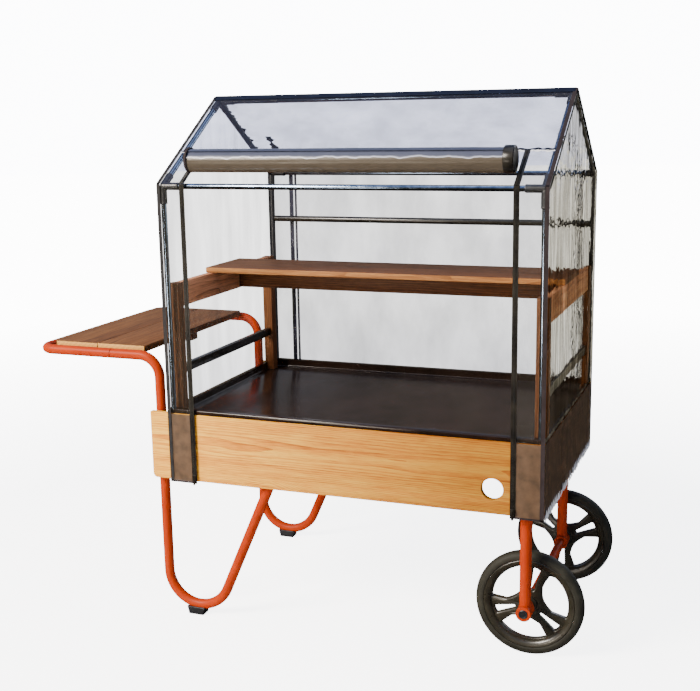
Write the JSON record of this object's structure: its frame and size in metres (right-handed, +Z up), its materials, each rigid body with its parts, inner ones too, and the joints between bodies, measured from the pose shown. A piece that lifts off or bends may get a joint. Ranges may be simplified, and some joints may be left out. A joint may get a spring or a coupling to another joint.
{
  "type": "garden trolley wheelbarrow",
  "caption": "Tube-framed garden trolley with a wheelbarrow's handle, legs and wheels, a board box with a plant tray, an inner shelf and a gabled foil house with a rolled-up front.",
  "frame": {"origin": "on the ground under the middle of the bounding box", "axes": "+X from the handle towards the wheels, +Y from the open front to the back, +Z up"},
  "size_m": [1.693, 0.7764, 1.5579],
  "materials": {
    "orange_paint": "smooth orange powder coat",
    "black_plastic": "satin moulded black",
    "tyre": "solid black tyre",
    "steel": "bright turned steel",
    "light_oak": "oiled light oak",
    "brown_oak": "brown oiled oak",
    "red_hardwood": "red-brown oiled hardwood",
    "tray_black": "glossy black",
    "black_paint": "black enamel",
    "zinc_tube": "bright zinc-plated tube",
    "clear_foil": "clear flexible foil"
  },
  "bodies": {
    "cart": {"handle_loop": "orange_paint", "side_tube_front": "orange_paint", "side_tube_back": "orange_paint", "wheel_leg_front": "orange_paint", "wheel_leg_back": "orange_paint", "axle_tube": "orange_paint", "foot_pad_front": "black_plastic", "foot_pad_back": "black_plastic", "axle_plug": "black_plastic", "axle_cap": "black_plastic", "axle_collar": "black_plastic", "eave_joint_front_left": "black_plastic", "eave_joint_front_right": "black_plastic", "eave_joint_back_left": "black_plastic", "eave_joint_back_right": "black_plastic", "ridge_joint_left": "black_plastic", "ridge_joint_right": "black_plastic", "axle_rod": "steel", "front_board": "light_oak", "back_board": "light_oak", "left_board": "light_oak", "right_board": "light_oak", "handle_board_outer": "brown_oak", "handle_board_inner": "brown_oak", "handle_board_batten": "brown_oak", "bearer_left": "red_hardwood", "bearer_right": "red_hardwood", "shelf_post_front_left": "red_hardwood", "shelf_post_front_right": "red_hardwood", "shelf_post_back_left": "red_hardwood", "shelf_post_back_right": "red_hardwood", "side_rail_left": "red_hardwood", "side_rail_right": "red_hardwood", "shelf_beam": "red_hardwood", "shelf_plank": "red_hardwood", "tray": "tray_black", "lower_bar_left": "black_paint", "lower_bar_right": "black_paint", "back_rail": "black_paint", "hoop_left": "zinc_tube", "hoop_right": "zinc_tube", "eave_rail_front": "zinc_tube", "eave_rail_back": "zinc_tube", "ridge_tube": "zinc_tube", "foil_roof_front": "clear_foil", "foil_roof_back": "clear_foil", "foil_strip_left": "clear_foil", "foil_strip_right": "clear_foil", "foil_back": "clear_foil", "foil_end_left": "clear_foil", "foil_end_right": "clear_foil", "rolled_flap": "clear_foil"},
    "wheel_front": {"rim_front": "black_plastic", "tyre_front": "tyre"},
    "wheel_back": {"rim_back": "black_plastic", "tyre_back": "tyre"},
    "slider_front_left": {"zip_slider_front_left": "black_paint"},
    "slider_front_right": {"zip_slider_front_right": "black_paint"},
    "slider_back_left": {"zip_slider_back_left": "black_paint"},
    "slider_back_right": {"zip_slider_back_right": "black_paint"}
  },
  "joints": [
    {"name": "wheel_front_spin", "type": "hinge", "parent": "cart", "child": "wheel_front", "pos_m": [0.6935, -0.278, 0.153], "axis": [0, 1, 0], "continuous": true},
    {"name": "wheel_back_spin", "type": "hinge", "parent": "cart", "child": "wheel_back", "pos_m": [0.6935, 0.263, 0.153], "axis": [0, 1, 0], "continuous": true},
    {"name": "zip_front_left", "type": "slide", "parent": "cart", "child": "slider_front_left", "axis": [0, 0, 1], "range_m": [0, 0.84]},
    {"name": "zip_front_right", "type": "slide", "parent": "cart", "child": "slider_front_right", "axis": [0, 0, 1], "range_m": [0, 0.84]},
    {"name": "zip_back_left", "type": "slide", "parent": "cart", "child": "slider_back_left", "axis": [0, 0, 1], "range_m": [0, 0.84]},
    {"name": "zip_back_right", "type": "slide", "parent": "cart", "child": "slider_back_right", "axis": [0, 0, 1], "range_m": [0, 0.84]}
  ]
}
